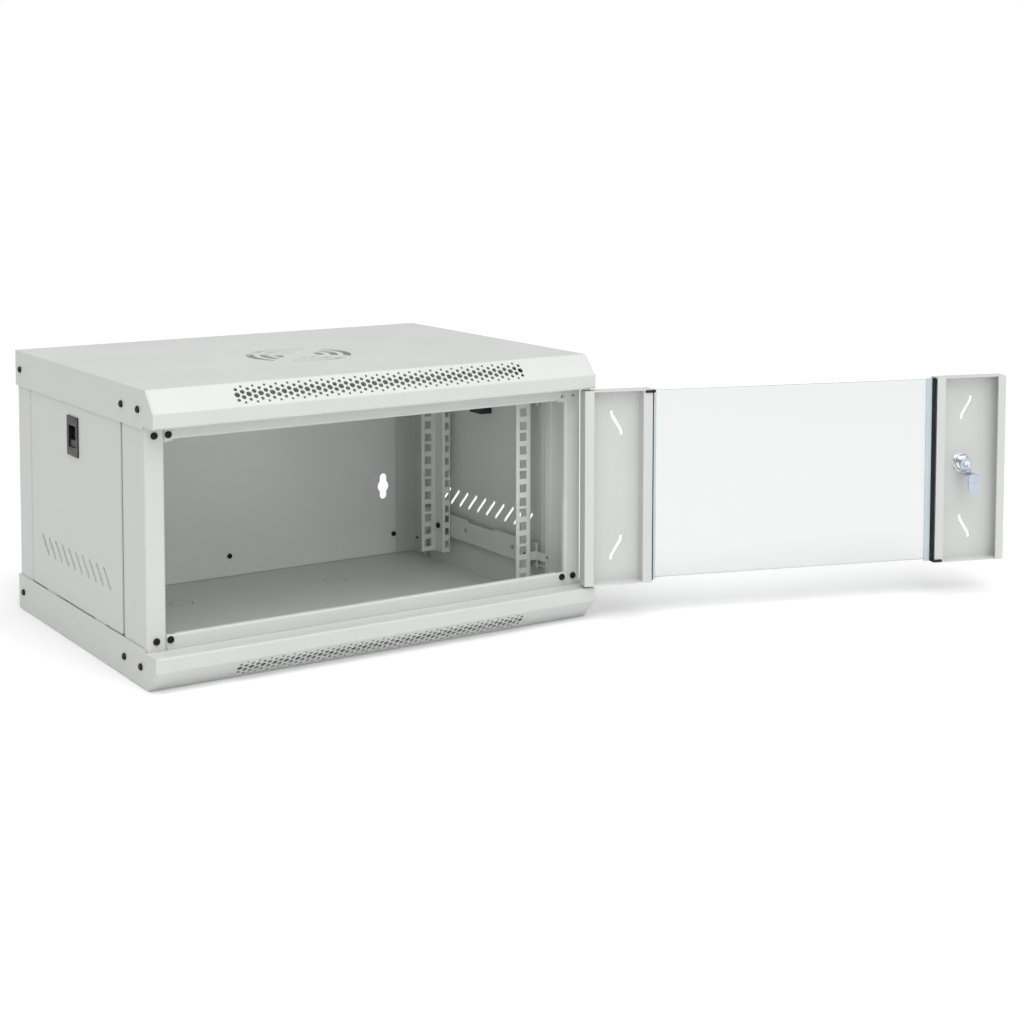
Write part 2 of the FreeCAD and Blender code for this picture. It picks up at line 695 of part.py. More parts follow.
def make_door():
    x = lambda s: hinge_x + hinge_edge - s
    y_out, y_in = hinge_y - door_front, hinge_y + door_back
    band_top = y_in - 2 - sheet
    nodes = {}
    pin_cut = rod(pin_radius + pin_fit, height, (hinge_x, hinge_y, 0), (0, 0, 1))
    hinge = stile(0, hinge_stile, 0, hinge_stile, hinge_rim)
    hinge = hinge.cut([pin_cut] + stile_slots(stile_slot_inset, 1))
    lock_edge = door_width - lock_stile
    lock = stile(lock_edge, door_width, door_width, lock_edge, lock_rim)
    barrel = rod(lock_body_radius + lock_bore_fit, 20, (lock_x, y_out - 5, lock_z), (0, 1, 0))
    lock = lock.cut([barrel] + stile_slots(door_width - stile_slot_inset, -1))
    glass_y = y_out + sheet + 0.6
    g0, g1 = hinge_stile - glass_grip, lock_edge + glass_grip
    glass = box(x(g0), x(g1), glass_y, glass_y + glass_thick, door_low + glass_short, door_high - glass_short)
    nodes["door_glass"] = glass
    seal_y = glass_y + glass_thick + 0.05
    for name, at, direction in (("hinge_side_seal", hinge_stile, 1), ("lock_side_seal", lock_edge, -1)):
        a, b = x(at), x(at + direction * seal_width)
        nodes[name] = box(a, b, seal_y, seal_y + seal_depth - 2, door_low + 1, door_high - 1)
    slot_room = box(x(g0 - 1), x(g1 + 1), glass_y - glass_room, glass_y + glass_thick + glass_room,
                    door_low + glass_short - 1, door_high - glass_short + 1)
    nodes["door_hinge_stile"] = hinge.cut(slot_room)
    nodes["door_lock_stile"] = lock.cut(slot_room)
    out = (0, -1, 0)
    rosette = rod(lock_body_radius + rosette_margin, rosette_thick, (lock_x, y_out, lock_z), out)
    rosette = rosette.makeFillet(1.0, [e for e in rosette.Edges if e.BoundBox.YMax < y_out - rosette_thick / 2])
    hub_y = y_out + barrel_length + cam_gap
    tube = rod(lock_body_radius, barrel_length, (lock_x, y_out, lock_z), (0, 1, 0))
    body = fuse([rosette, tube])
    body = body.cut(rod(plug_radius + lock_bore_fit, 60, (lock_x, y_out - 10, lock_z), (0, 1, 0)))
    nodes["lock_body"] = body
    nut = Part.makeCylinder(lock_nut_radius, lock_nut_thick)
    corner = Vector(lock_nut_radius * 1.1, 0, 0)
    turn = [FreeCAD.Rotation(Vector(0, 0, 1), 60 * i) for i in range(7)]
    hexagon = Part.makePolygon([t.multVec(corner) for t in turn])
    nut = nut.common(Part.Face(hexagon).extrude(Vector(0, 0, lock_nut_thick)))
    washer = Part.makeCylinder(lock_nut_radius + nut_margin, washer_thick, Vector(0, 0, 0))
    nut.translate(Vector(0, 0, washer_thick))
    nut = nut.fuse(washer).cut(Part.makeCylinder(lock_body_radius + 0.05, 20, Vector(0, 0, -5)))
    nut.rotate(Vector(0, 0, 0), Vector(1, 0, 0), -90)
    nut.translate(Vector(lock_x, y_out + sheet, lock_z))
    nodes["lock_nut"] = nut
    plug = rod(plug_radius, hub_y - y_out + 2.0, (lock_x, y_out - 2.0, lock_z), (0, 1, 0))
    key_slot = box(lock_x - key_slot_width / 2, lock_x + key_slot_width / 2, y_out - 3, y_out + key_slot_depth,
                   lock_z - key_slot_height / 2, lock_z + key_slot_height / 2)
    nodes["lock_plug"] = plug.cut(key_slot)
    nodes["lock_cam"] = make_cam(hub_y)
    nodes["lock_cam_screw"] = screw((lock_x, hub_y + cam_thick, lock_z), (0, 1, 0), cam_screw_radius, cam_thick)
    return {name: open_door(shape) for name, shape in nodes.items()}


def make_pins():
    """Fixed pins from the cover ledges into the door's top and bottom flanges."""
    top = lip_low + pin_head
    upper = rod(pin_radius, top - door_high + pin_engage, (hinge_x, hinge_y, door_high - pin_engage), (0, 0, 1))
    collar = rod(pin_collar, pin_collar_height, (hinge_x, hinge_y, lip_low - pin_collar_height), (0, 0, 1))
    upper = fuse([upper, collar])
    return upper, mirror_z(upper)


top_cover, bottom_cover = make_covers()
front_post = make_front_post()
post_cuts = []
for px, py, pz in front_screws + bare_corner:
    post_cuts.append(bore((-abs(px), py, pz), (0, -1, 0), length=8.0))
for px, py, pz in bracket_screw_places:
    post_cuts.append(bore((-px, py, pz), (0, 1, 0), bracket_shank + screw_clearance))
for px, py, pz in cover_screws:
    post_cuts += [bore((-px, py, pz), (1, 0, 0)), bore((-px, py, height - pz), (1, 0, 0))]
front_post = front_post.cut(post_cuts)
rear_post = make_rear_post().cut(post_cuts)
back_bores = [bore((x, half_d, z), (0, 1, 0)) for x, z in back_screws]
rear_post = rear_post.cut(back_bores)
frame_rail = make_frame_rail().cut([bore(p, (0, -1, 0), length=8.0) for p in front_screws + bare_corner])
rack_rail = make_rack_rail()
bracket = make_bracket()
panel = make_side_panel()
housing = make_latch_housing()
slider = make_latch_slider()
upper_pin, lower_pin = make_pins()

nodes = {
    "top_cover": top_cover,
    "bottom_cover": bottom_cover,
    "back_panel": make_back_panel(),
    "front_left_post": front_post,
    "front_right_post": mirror_x(front_post),
    "rear_left_post": rear_post,
    "rear_right_post": mirror_x(rear_post),
    "front_top_rail": frame_rail,
    "front_bottom_rail": mirror_z(frame_rail),
    "front_right_rack_rail": rack_rail,
    "front_left_rack_rail": mirror_x(rack_rail),
    "lower_right_bracket": bracket,
    "lower_left_bracket": mirror_x(bracket),
    "upper_right_bracket": mirror_z(bracket),
    "upper_left_bracket": mirror_x(mirror_z(bracket)),
    "left_side_panel": panel,
    "right_side_panel": mirrored(mirror_x(panel), (0, 1, 0), (0, latch_y, 0)),
    "left_latch_housing": housing,
    "right_latch_housing": mirror_x(housing),
    "left_latch_slider": slider,
    "right_latch_slider": mirror_x(slider),
    "upper_hinge_pin": upper_pin,
    "lower_hinge_pin": lower_pin,
}
rail_shift = rear_rail_y + front_rail_y
rear_rail = mirrored(rack_rail, (0, 1, 0))
rear_rail.translate(Vector(0, rail_shift, 0))
nodes["rear_right_rack_rail"] = rear_rail
nodes["rear_left_rack_rail"] = mirror_x(rear_rail)
nodes.update(make_door())

side_heads = []
for px, py, pz in cover_screws:
    for sx in (-1, 1):
        for z in (pz, height - pz):
            side_heads.append(screw((sx * px, py, z), (sx, 0, 0)))
nodes["cover_screws"] = group(side_heads)
nodes["front_frame_screws"] = group([screw(p, (0, -1, 0)) for p in front_screws])
back_face = half_d - 2 * sheet - skin_gap
nodes["back_panel_screws"] = group([screw((x, back_face, z), (0, -1, 0), 3.4, 1.4) for x, z in back_screws])
rail_heads, bracket_heads = [], []
for sx in (-1, 1):
    for px, py, pz in rail_screw_places:
        rail_heads.append(screw((sx * px, py, pz), (-sx, 0, 0), grip=4.0))
    for px, py, pz in bracket_screw_places:
        way = 1 if py < 0 else -1
        at = (sx * px, py + way * sheet, pz)
        bracket_heads.append(screw(at, (0, way, 0), bracket_screw_radius, 2 * sheet, bracket_shank))
nodes["rail_screws"] = group(rail_heads)
nodes["bracket_screws"] = group(bracket_heads)

for name, shape in nodes.items():
    solids = shape.Solids
    if not solids or not shape.isValid():
        raise RuntimeError("bad shape: " + name)
    print(name, len(solids), round(shape.Volume / 1000, 2))
    kept = solids[0] if len(solids) == 1 else Part.makeCompound(solids)
    kept.exportStep("parts/" + name + ".step")
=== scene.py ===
import math
import json

import bpy
from mathutils import Matrix, Vector


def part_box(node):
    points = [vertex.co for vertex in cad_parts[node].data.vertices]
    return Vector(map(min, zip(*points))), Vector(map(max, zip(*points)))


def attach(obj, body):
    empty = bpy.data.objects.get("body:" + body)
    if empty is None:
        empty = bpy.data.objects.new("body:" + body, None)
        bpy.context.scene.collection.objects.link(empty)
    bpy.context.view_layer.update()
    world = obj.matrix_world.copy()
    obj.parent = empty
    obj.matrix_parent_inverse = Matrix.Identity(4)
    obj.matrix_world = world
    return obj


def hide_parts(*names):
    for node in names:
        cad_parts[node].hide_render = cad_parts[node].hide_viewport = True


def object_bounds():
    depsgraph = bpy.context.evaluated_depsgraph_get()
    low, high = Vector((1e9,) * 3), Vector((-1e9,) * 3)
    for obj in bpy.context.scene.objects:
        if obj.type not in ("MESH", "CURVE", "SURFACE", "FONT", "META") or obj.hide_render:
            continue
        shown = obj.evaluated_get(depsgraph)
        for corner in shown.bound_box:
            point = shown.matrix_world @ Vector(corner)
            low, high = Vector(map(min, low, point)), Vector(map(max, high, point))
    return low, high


bl_info = {
    "name": "Network Wall Cabinet",
    "version": (1, 0, 0),
    "blender": (4, 5, 0),
    "location": "View3D > Sidebar > Cabinet",
    "description": "Finishes and fittings for a folded-steel network wall cabinet",
    "category": "Object",
}

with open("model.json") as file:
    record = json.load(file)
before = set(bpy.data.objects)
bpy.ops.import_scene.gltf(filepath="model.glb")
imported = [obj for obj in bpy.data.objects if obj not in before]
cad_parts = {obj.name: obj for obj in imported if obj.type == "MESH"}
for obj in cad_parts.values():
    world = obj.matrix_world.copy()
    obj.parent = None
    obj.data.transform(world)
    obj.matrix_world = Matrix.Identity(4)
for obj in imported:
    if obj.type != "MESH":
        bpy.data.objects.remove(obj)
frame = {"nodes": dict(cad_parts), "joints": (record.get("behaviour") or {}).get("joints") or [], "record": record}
NODES = frame["nodes"]
CAD_LOW, CAD_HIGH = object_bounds()
MM = 0.001


# ---------------------------------------------------------------- places

def corners(node):
    """Lowest and highest corner of a node as vectors."""
    low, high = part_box(node)
    return Vector(low), Vector(high)


def joint(name):
    """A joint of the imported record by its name."""
    return next(j for j in frame["joints"] if j["name"] == name)


HINGE = Vector(joint("door_hinge")["pos_m"])
DOOR_IN = Vector(joint("lock_turn")["axis"]).normalized()
# Turns a piece modelled on the closed door to where the open door holds it at rest.
TO_HINGE = Matrix.Translation((HINGE.x, HINGE.y, 0.0))
DOOR = TO_HINGE @ Matrix.Rotation(math.atan2(-DOOR_IN.x, DOOR_IN.y), 4, "Z") @ TO_HINGE.inverted()
CLOSED = DOOR.inverted()
SHEET = 1.5 * MM


def extent(points):
    """Lowest and highest corner of a list of points."""
    low = Vector(min(p[i] for p in points) for i in range(3))
    high = Vector(max(p[i] for p in points) for i in range(3))
    return low, high


def door_corners(node):
    """Lowest and highest corner of a door part with the door closed."""
    return extent([CLOSED @ v.co for v in NODES[node].data.vertices])


def islands(node):
    """The separate solids of a node, each as (centre, low, high)."""
    mesh = NODES[node].data
    parent = list(range(len(mesh.vertices)))

    def root(i):
        while parent[i] != i:
            parent[i] = parent[parent[i]]
            i = parent[i]
        return i

    places = {}
    for v in mesh.vertices:
        key = tuple(round(c, 6) for c in v.co)
        first = places.setdefault(key, v.index)
        parent[root(v.index)] = root(first)
    for e in mesh.edges:
        parent[root(e.vertices[0])] = root(e.vertices[1])
    groups = {}
    for v in mesh.vertices:
        groups.setdefault(root(v.index), []).append(v.co)
    found = []
    for points in groups.values():
        low, high = extent(points)
        found.append(((low + high) / 2, low, high))
    found.sort(key=lambda f: tuple(round(c, 4) for c in f[0]))
    return found


# ---------------------------------------------------------------- mesh helpers

def start_clean():
    if bpy.context.object and bpy.context.object.mode != "OBJECT":
        bpy.ops.object.mode_set(mode="OBJECT")
    bpy.ops.object.select_all(action="DESELECT")


def select_only(obj):
    start_clean()
    bpy.context.view_layer.objects.active = obj
    obj.select_set(True)


def pick(obj, domain, test):
    """Selects only the faces, edges or vertices of obj that pass the test, then goes to edit mode."""
    bpy.context.view_layer.objects.active = obj
    obj.select_set(True)
    bpy.ops.object.mode_set(mode="EDIT")
    bpy.ops.mesh.select_mode(type=domain)
    bpy.ops.mesh.select_all(action="DESELECT")
    bpy.ops.object.mode_set(mode="OBJECT")
    mesh = obj.data
    items = {"FACE": mesh.polygons, "EDGE": mesh.edges, "VERT": mesh.vertices}[domain]
    for item in items:
        item.select = bool(test(item))
    bpy.ops.object.mode_set(mode="EDIT")


def leave_edit():
    bpy.ops.object.mode_set(mode="OBJECT")


def new_primitive(kind, name, **settings):
    """A primitive with its size and place taken into its mesh."""
    start_clean()
    getattr(bpy.ops.mesh, kind)(**settings)
    obj = bpy.context.object
    obj.name = name
    obj.data.name = name
    bpy.ops.object.transform_apply(location=True, rotation=True, scale=True)
    return obj


def cylinder_at(name, radius, length, sides=32):
    """A cylinder from z = 0 to its length, on the Z axis."""
    return new_primitive("primitive_cylinder_add", name, radius=radius, depth=length, vertices=sides,
                         location=(0, 0, length / 2), end_fill_type="NGON")


def block_between(name, low, high):
    """A block between two corners."""
    low, high = Vector(low), Vector(high)
    return new_primitive("primitive_cube_add", name, size=1.0, location=(low + high) / 2,
                         scale=tuple(high - low))


def apply_modifier(obj, modifier):
    select_only(obj)
    bpy.ops.object.modifier_apply(modifier=modifier.name)


def apply_bevel(obj, width, segments=2, angle=40.0):
    """Rounds the sharp edges, and keeps the flat faces shaded flat."""
    mod = obj.modifiers.new("Bevel", "BEVEL")
    mod.width = width
    mod.segments = segments
    mod.limit_method = "ANGLE"
    mod.angle_limit = math.radians(angle)
    mod.miter_outer = "MITER_ARC"
    mod.harden_normals = True
    apply_modifier(obj, mod)


def cut_with(obj, tool):
    """Cuts one piece out of another and removes the tool."""
    cut = obj.modifiers.new("Cut", "BOOLEAN")
    cut.operation = "DIFFERENCE"
    cut.solver = "EXACT"
    cut.object = tool
    apply_modifier(obj, cut)
    bpy.data.objects.remove(tool)


def turned(name, stations, sides=48):
    """A turned piece on the Z axis: a disc drawn out through (radius, height) stations."""
    radius, height = stations[0]
    obj = new_primitive("primitive_circle_add", name, radius=radius, vertices=sides, fill_type="NGON",
                        location=(0, 0, height))
    pick(obj, "FACE", lambda f: True)
    for next_radius, next_height in stations[1:]:
        bpy.ops.mesh.extrude_region_move(TRANSFORM_OT_translate={"value": (0, 0, next_height - height)})
        factor = next_radius / radius
        bpy.ops.transform.resize(value=(factor, factor, 1.0), center_override=(0, 0, next_height))
        radius, height = next_radius, next_height
    bpy.ops.mesh.select_all(action="SELECT")
    bpy.ops.mesh.normals_make_consistent(inside=False)
    leave_edit()
    return obj


def smooth(obj, angle):
    """Shades smooth across every edge that turns less than the angle, in degrees."""
    select_only(obj)
    bpy.ops.object.shade_smooth_by_angle(angle=math.radians(angle), keep_sharp_edges=False)


def stand(obj, at, outward):
    """Turns a piece modelled on +Z to face outward, and puts it in place in its mesh."""
    turn = Vector(outward).to_track_quat("Z", "Y").to_matrix().to_4x4()
    obj.data.transform(Matrix.Translation(Vector(at)) @ turn)
    obj.data.update()


def copy_of(obj, name):
    """A copy with its own mesh."""
    twin = obj.copy()
    twin.data = obj.data.copy()
    twin.name = name
    twin.data.name = name
    bpy.context.scene.collection.objects.link(twin)
    return twin


def join(pieces, name):
    """One object made of several pieces."""
    start_clean()
    for piece in pieces:
        piece.select_set(True)
    bpy.context.view_layer.objects.active = pieces[0]
    bpy.ops.object.join()
    obj = bpy.context.object
    obj.name = name
    obj.data.name = name
    return obj


def finish_piece(obj, body, material, replaces=()):
    """Gives a piece its finish and the body it rides on, and hides the CAD nodes it stands for."""
    obj.data.materials.clear()
    obj.data.materials.append(material)
    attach(obj, body)
    if replaces:
        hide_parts(*replaces)
    return obj


# ---------------------------------------------------------------- materials

def linear(hex_colour):
    """sRGB hex to linear RGBA."""
    out = []
    for i in (0, 2, 4):
        c = int(hex_colour[i:i + 2], 16) / 255
        out.append(c / 12.92 if c <= 0.04045 else ((c + 0.055) / 1.055) ** 2.4)
    return (*out, 1.0)


def node(tree, kind, settings=None, inputs=None, links=None):
    """Adds one node: settings on the node, values on its sockets, and links into it."""
    made = tree.nodes.new(kind)
    for key, value in (settings or {}).items():
        setattr(made, key, value)
    for key, value in (inputs or {}).items():
        made.inputs[key].default_value = value
    for key, source in (links or {}).items():
        tree.links.new(source, made.inputs[key])
    return made


def blank(name):
    """A material with only a Principled shader and its output."""
    old = bpy.data.materials.get(name)
    if old:
        bpy.data.materials.remove(old)
    material = bpy.data.materials.new(name)
    material.use_nodes = True
    tree = material.node_tree
    shader = next(n for n in tree.nodes if n.type == "BSDF_PRINCIPLED")
    return material, tree, shader


def object_space(tree):
    """Coordinates in the piece's own space, in metres."""
    return node(tree, "ShaderNodeTexCoord").outputs["Object"]


def ramp(tree, source, stops):
    """A colour ramp over a source, from (position, colour) stops."""
    made = node(tree, "ShaderNodeValToRGB", links={"Fac": source})
    elements = made.color_ramp.elements
    while len(elements) > 1:
        elements.remove(elements[-1])
    elements[0].position, elements[0].color = stops[0]
    for position, colour in stops[1:]:
        elements.new(position).color = colour
    return made.outputs["Color"]


def grey(value):
    """A plain level as a colour."""
    return (value, value, value, 1.0)


def gloss_drift(tree, shader, source, roughness, spread):
    """Lets the roughness drift by the spread to either side."""
    made = ramp(tree, source, [(0.3, grey(roughness - spread)), (0.7, grey(roughness + spread))])
    tree.links.new(made, shader.inputs["Roughness"])


def raise_surface(tree, shader, height, strength, depth_mm):
    """Raises the surface by a pattern, to a depth in millimetres."""
    bump = node(tree, "ShaderNodeBump", None, {"Strength": strength, "Distance": depth_mm * MM}, {"Height": height})
    tree.links.new(bump.outputs["Normal"], shader.inputs["Normal"])
    return bump


def stretched(tree, space, width_mm, length_mm):
    """Coordinates drawn out upwards, so that a pattern on them runs in upright lines."""
    across = 1 / (width_mm * MM)
    made = node(tree, "ShaderNodeMapping", None, {"Scale": (across, across, 1 / (length_mm * MM))},
                {"Vector": space})
    return made.outputs["Vector"]


def powder_coat(name, colour, roughness):
    """Polyester powder coat on folded steel: baked paint with a fine orange-peel surface,
    a satin sheen, and a very slight unevenness of tone and gloss."""
    material, tree, shader = blank(name)
    space = object_space(tree)
    # Orange peel: soft bumps a little under a millimetre apart.
    peel = node(tree, "ShaderNodeTexNoise", None, {"Scale": 1 / (0.8 * MM), "Detail": 2.0, "Roughness": 0.55},
                {"Vector": space})
    # The coat flows round every cut edge and bend, so light rolls over them.
    flow = node(tree, "ShaderNodeBevel", {"samples": 4}, {"Radius": 0.5 * MM})
    bump = raise_surface(tree, shader, peel.outputs["Fac"], 0.35, 0.05)
    tree.links.new(flow.outputs["Normal"], bump.inputs["Normal"])
    # Tone drifts by a hair over a hand's width, as sprayed powder does.
    drift = node(tree, "ShaderNodeTexNoise", None, {"Scale": 1 / (90 * MM), "Detail": 3.0, "Roughness": 0.6},
                 {"Vector": space})
    base = linear(colour)
    darker = tuple(c * 0.965 for c in base[:3]) + (1.0,)
    tone = ramp(tree, drift.outputs["Fac"], [(0.3, darker), (0.7, base)])
    # Fine specks of texture in the powder.
    speck = node(tree, "ShaderNodeTexNoise", None, {"Scale": 1 / (0.9 * MM), "Detail": 1.0}, {"Vector": space})
    flecks = ramp(tree, speck.outputs["Fac"], [(0.35, grey(0.96)), (0.65, grey(1.0))])
    mixed = node(tree, "ShaderNodeMix", {"data_type": "RGBA", "blend_type": "MULTIPLY"}, {"Factor": 1.0},
                 {"A": tone, "B": flecks})
    tree.links.new(mixed.outputs["Result"], shader.inputs["Base Color"])
    gloss = ramp(tree, drift.outputs["Fac"], [(0.25, grey(roughness - 0.05)), (0.75, grey(roughness + 0.05))])
    tree.links.new(gloss, shader.inputs["Roughness"])
    shader.inputs["IOR"].default_value = 1.5
    shader.inputs["Coat Weight"].default_value = 0.08
    shader.inputs["Coat Roughness"].default_value = 0.35
    return material


def black_oxide(name, colour, roughness, wear_colour):
    """Black-oxide screw steel: near-black metal with a dull sheen and browner rubbed patches."""
    material, tree, shader = blank(name)
    space = object_space(tree)
    patch = node(tree, "ShaderNodeTexNoise", None, {"Scale": 1 / (1.6 * MM), "Detail": 3.0}, {"Vector": space})
    tone = ramp(tree, patch.outputs["Fac"], [(0.4, linear(colour)), (0.72, linear(wear_colour))])
    tree.links.new(tone, shader.inputs["Base Color"])
    gloss_drift(tree, shader, patch.outputs["Fac"], roughness, 0.08)
    fine = node(tree, "ShaderNodeTexNoise", None, {"Scale": 1 / (0.25 * MM), "Detail": 2.0}, {"Vector": space})
    raise_surface(tree, shader, fine.outputs["Fac"], 0.2, 0.02)
    shader.inputs["Metallic"].default_value = 0.6
    return material


def moulded_abs(name, colour, roughness):
    """Injection-moulded ABS: black, with a fine spark-eroded grain and a soft sheen."""
    material, tree, shader = blank(name)
    space = object_space(tree)
    grain = node(tree, "ShaderNodeTexVoronoi", {"feature": "F1"}, {"Scale": 1 / (0.35 * MM)}, {"Vector": space})
    raise_surface(tree, shader, grain.outputs["Distance"], 0.3, 0.03)
    drift = node(tree, "ShaderNodeTexNoise", None, {"Scale": 1 / (14 * MM), "Detail": 3.0}, {"Vector": space})
    base = linear(colour)
    lighter = tuple(c * 1.5 for c in base[:3]) + (1.0,)
    tone = ramp(tree, drift.outputs["Fac"], [(0.35, base), (0.7, lighter)])
    tree.links.new(tone, shader.inputs["Base Color"])
    gloss_drift(tree, shader, drift.outputs["Fac"], roughness, 0.06)
    shader.inputs["IOR"].default_value = 1.53
    return material


def extruded_rubber(name, colour):
    """Extruded EPDM rubber: matt black with faint lines along the extrusion."""
    material, tree, shader = blank(name)
    space = object_space(tree)
    lines = stretched(tree, space, 0.8, 60)
    drawn = node(tree, "ShaderNodeTexNoise", None, {"Scale": 1.0, "Detail": 2.0}, {"Vector": lines})
    raise_surface(tree, shader, drawn.outputs["Fac"], 0.3, 0.04)
    base = linear(colour)
    dusty = tuple(c * 1.7 + 0.002 for c in base[:3]) + (1.0,)
    tone = ramp(tree, drawn.outputs["Fac"], [(0.4, base), (0.75, dusty)])
    tree.links.new(tone, shader.inputs["Base Color"])
    shader.inputs["Roughness"].default_value = 0.62
    shader.inputs["IOR"].default_value = 1.52
    return material


def plated(name, colour, roughness, tint, tint_mm, scratch_mm):
    """Plated metal: bright with fine handling lines; zinc also has a faint bluish-yellow passivate."""
    material, tree, shader = blank(name)
    space = object_space(tree)
    cloud = node(tree, "ShaderNodeTexNoise", None, {"Scale": 1 / (tint_mm * MM), "Detail": 2.0}, {"Vector": space})
    tone = ramp(tree, cloud.outputs["Fac"], [(0.35, linear(colour)), (0.7, linear(tint))])
    tree.links.new(tone, shader.inputs["Base Color"])
    scratches = stretched(tree, space, scratch_mm, 14 * scratch_mm)
    line = node(tree, "ShaderNodeTexNoise", None, {"Scale": 1.0, "Detail": 3.0}, {"Vector": scratches})
    gloss_drift(tree, shader, line.outputs["Fac"], roughness, 0.25 * roughness)
    raise_surface(tree, shader, line.outputs["Fac"], 0.08, 0.02)
    shader.inputs["Metallic"].default_value = 1.0
    return material


def float_glass(name, colour):
    """Toughened float glass: a clear sheet, a shade darker than the air behind it, polished by the float
    bath and left with a trace of haze."""
    material, tree, shader = blank(name)
    space = object_space(tree)
    haze = node(tree, "ShaderNodeTexNoise", None, {"Scale": 1 / (35 * MM), "Detail": 2.0}, {"Vector": space})
    rough = ramp(tree, haze.outputs["Fac"], [(0.4, grey(0.0)), (0.8, grey(0.015))])
    tree.links.new(rough, shader.inputs["Roughness"])
    shader.inputs["Base Color"].default_value = linear(colour)
    shader.inputs["Transmission Weight"].default_value = 1.0
    shader.inputs["IOR"].default_value = 1.5
    return material


def ground_glass(name, colour):
    """Ground and seamed glass edge: the green of the iron in the glass, with a frosted face."""
    material, tree, shader = blank(name)
    space = object_space(tree)
    grind = node(tree, "ShaderNodeTexNoise", None, {"Scale": 1 / (0.5 * MM), "Detail": 3.0}, {"Vector": space})
    base = linear(colour)
    pale = tuple(min(1.0, c * 1.35) for c in base[:3]) + (1.0,)
    tone = ramp(tree, grind.outputs["Fac"], [(0.3, base), (0.7, pale)])
    tree.links.new(tone, shader.inputs["Base Color"])
    shader.inputs["Roughness"].default_value = 0.3
    shader.inputs["Transmission Weight"].default_value = 0.55
    shader.inputs["IOR"].default_value = 1.5
    return material


def studio_floor(name, colour):
    """Matt seamless paper under the object."""
    material, tree, shader = blank(name)
    space = object_space(tree)
    fibre = node(tree, "ShaderNodeTexNoise", None, {"Scale": 1 / (2.0 * MM), "Detail": 2.0}, {"Vector": space})
    base = linear(colour)
    tone = ramp(tree, fibre.outputs["Fac"], [(0.3, tuple(c * 0.99 for c in base[:3]) + (1.0,)), (0.7, base)])
    tree.links.new(tone, shader.inputs["Base Color"])
    shader.inputs["Roughness"].default_value = 0.9
    return material


MATERIALS = {}


# ---------------------------------------------------------------- user settings

class CabinetFinish(bpy.types.PropertyGroup):
    """Colours of the cabinet's finishes, as sRGB hex."""
    paint: bpy.props.StringProperty(name="Paint", description="Light grey powder coat", default="CBCDCB")
    rail_paint: bpy.props.StringProperty(name="Rail paint", description="Coat on the rack rails", default="D0D2CF")
    # Painted light: the back panel takes a lighter copy of the grey coat, to lift the shade inside the bay.
    back_paint_lit_for_shade: bpy.props.StringProperty(name="Back paint lightened for shade", description="Lighter coat on the back panel, painted light for the shaded bay", default="E0E2E0")
    screw: bpy.props.StringProperty(name="Screws", description="Black oxide", default="141416")
    plastic: bpy.props.StringProperty(name="Latch plastic", description="Black ABS", default="0E0E10")
    rubber: bpy.props.StringProperty(name="Seals", description="Black rubber", default="060607")
    glass: bpy.props.StringProperty(name="Glass", description="Clear float glass", default="E6E9E8")
    glass_edge: bpy.props.StringProperty(name="Glass edge", description="Ground edge", default="D2E6E2")
    strip: bpy.props.StringProperty(name="Glazing strip", description="Clear plastic strip", default="CBD8DC")
    floor: bpy.props.StringProperty(name="Floor", description="Studio paper", default="F6F6F6")


class CabinetSizes(bpy.types.PropertyGroup):
    """Sizes of the fittings that a user would change."""
    screw_edge: bpy.props.FloatProperty(name="Screw edge", description="Rounding of a screw head",
                                        default=0.45 * MM, unit="LENGTH")
    glass_chamfer: bpy.props.FloatProperty(name="Glass chamfer", description="Seamed edge of the door glass",
                                           default=0.6 * MM, unit="LENGTH")
    sheet_round: bpy.props.FloatProperty(name="Cut edge", description="Rounding the coat gives a cut sheet edge",
                                         default=0.3 * MM, unit="LENGTH")
    seal_round: bpy.props.FloatProperty(name="Seal round", description="Rounding of the door seals",
                                        default=0.9 * MM, unit="LENGTH")
    seal_foot: bpy.props.FloatProperty(name="Seal foot", description="Height of the turned end of a seal",
                                       default=3.0 * MM, unit="LENGTH")
    seal_turn: bpy.props.FloatProperty(name="Seal turn", description="Length of the turned end of a seal",
                                       default=12.0 * MM, unit="LENGTH")
    hinge_strip: bpy.props.FloatProperty(name="Hinge side strip", description="Width of the clear strip",
                                         default=4.0 * MM, unit="LENGTH")
    lock_strip: bpy.props.FloatProperty(name="Lock side strip", description="Width of the clear strip",
                                        default=7.5 * MM, unit="LENGTH")
    strip_thick: bpy.props.FloatProperty(name="Strip", description="Thickness of the clear strips",
                                         default=1.6 * MM, unit="LENGTH")
    rosette_margin: bpy.props.FloatProperty(name="Rosette margin", description="Rosette beyond the barrel",
                                            default=3.0 * MM, unit="LENGTH")
    rosette_thick: bpy.props.FloatProperty(name="Rosette", description="Thickness of the lock's rosette",
                                           default=2.5 * MM, unit="LENGTH")
    thread_pitch: bpy.props.FloatProperty(name="Thread pitch", description="Thread of the lock barrel",
                                          default=1.5 * MM, unit="LENGTH")
    pad_rise: bpy.props.FloatProperty(name="Pad rise", description="Height of the first thumb rib",
                                      default=11.5 * MM, unit="LENGTH")
    rib_pitch: bpy.props.FloatProperty(name="Rib pitch", description="Spacing of the thumb ribs",
                                       default=2.0 * MM, unit="LENGTH")
    rib_length: bpy.props.FloatProperty(name="Rib length", description="Length of the longest thumb rib",
                                        default=14.0 * MM, unit="LENGTH")


def finish():
    """The colours that the user has set."""
    return bpy.context.scene.cabinet_finish


def sizes():
    """The sizes that the user has set."""
    return bpy.context.scene.cabinet_sizes


# ---------------------------------------------------------------- operators

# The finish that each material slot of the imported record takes.
SLOT_FINISH = {"cabinet_paint": "paint", "rail_paint": "rail", "latch_plastic": "plastic",
               "hinge_pin_steel": "pin", "door_glass": "glass", "seal_rubber": "rubber",
               "lock_chrome": "chrome", "cam_zinc": "zinc", "black_screw": "screw"}


